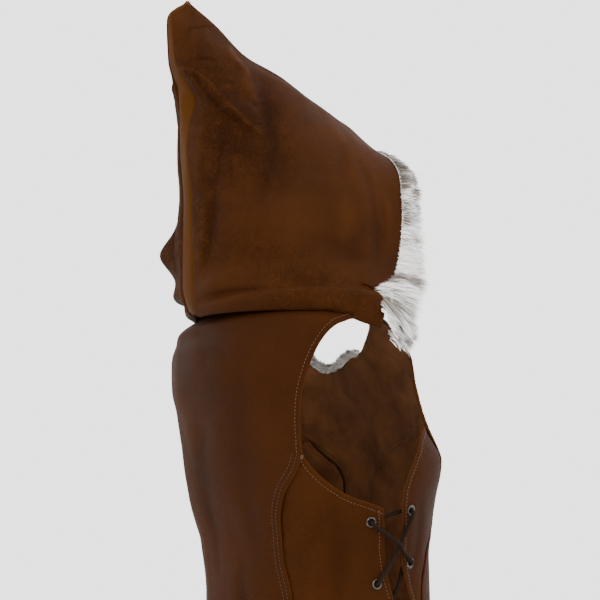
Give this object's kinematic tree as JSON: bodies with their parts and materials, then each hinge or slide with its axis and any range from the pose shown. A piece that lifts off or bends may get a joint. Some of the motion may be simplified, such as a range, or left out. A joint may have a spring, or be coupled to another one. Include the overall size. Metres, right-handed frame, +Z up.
{
  "type": "hooded tunic",
  "caption": "Sleeveless costume tunic in dark brown leather, with a pointed hood edged in fur and laced openings down both sides.",
  "frame": {"origin": "middle of the neck opening at the height of the shoulder seams' neck ends, where the wearer's shoulders hold the tunic up", "axes": "+Z up the wearer's body, the wearer faces -Y, +X to the wearer's left"},
  "size_m": [0.4236, 0.347, 1.1061],
  "materials": {
    "leather": "brushed, matt",
    "hood_leather": "smooth, low sheen",
    "gusset_leather": "smooth, low sheen",
    "fur": "fur",
    "nickel": "satin",
    "lace": "matt"
  },
  "bodies": {
    "root": {"back_panel": "leather", "front_panel": "leather", "side_panel_right": "leather", "side_panel_left": "leather", "front_side_right": "leather", "front_side_left": "leather", "hood_side_right": "hood_leather", "hood_side_left": "hood_leather", "hood_gusset": "gusset_leather", "hood_fur_trim": "fur", "neck_fur_trim": "fur", "grommet_side_right_1": "nickel", "grommet_side_left_1": "nickel", "grommet_front_right_1": "nickel", "grommet_front_left_1": "nickel", "grommet_side_right_2": "nickel", "grommet_side_left_2": "nickel", "grommet_front_right_2": "nickel", "grommet_front_left_2": "nickel", "grommet_side_right_3": "nickel", "grommet_side_left_3": "nickel", "grommet_front_right_3": "nickel", "grommet_front_left_3": "nickel", "grommet_side_right_4": "nickel", "grommet_side_left_4": "nickel", "grommet_front_right_4": "nickel", "grommet_front_left_4": "nickel", "lace_right": "lace", "lace_left": "lace"}
  },
  "joints": []
}
